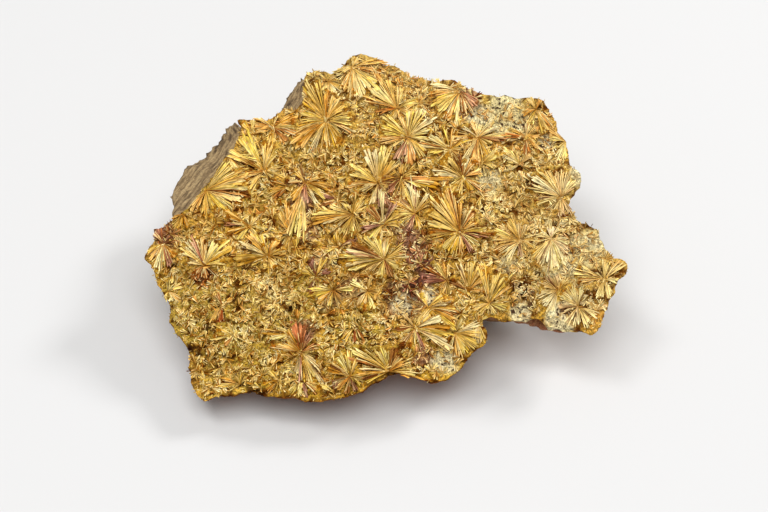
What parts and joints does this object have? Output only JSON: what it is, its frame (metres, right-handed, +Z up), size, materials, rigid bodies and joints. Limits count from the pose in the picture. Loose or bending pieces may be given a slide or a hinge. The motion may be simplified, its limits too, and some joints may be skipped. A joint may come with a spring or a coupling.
{
  "type": "pyrophyllite crystal specimen",
  "caption": "Slab of host rock with a leaning top face covered by a crust of radiating golden crystal fans; rests on its flat underside.",
  "frame": {"origin": "middle of the bottom of the bounding box, on the surface that the specimen rests on", "axes": "+X to the right along the specimen's length, +Y to its higher back edge, +Z up"},
  "size_m": [0.0932, 0.07, 0.0314],
  "materials": {
    "host_stone": "rough broken grey-brown rock, matt",
    "gold_crystal": "pearly to silky blades in gold, straw, cream, orange and brown, with pale speckled patches"
  },
  "bodies": {
    "root": {"host_rock": "host_stone", "rosette_crust": "gold_crystal"}
  },
  "joints": []
}
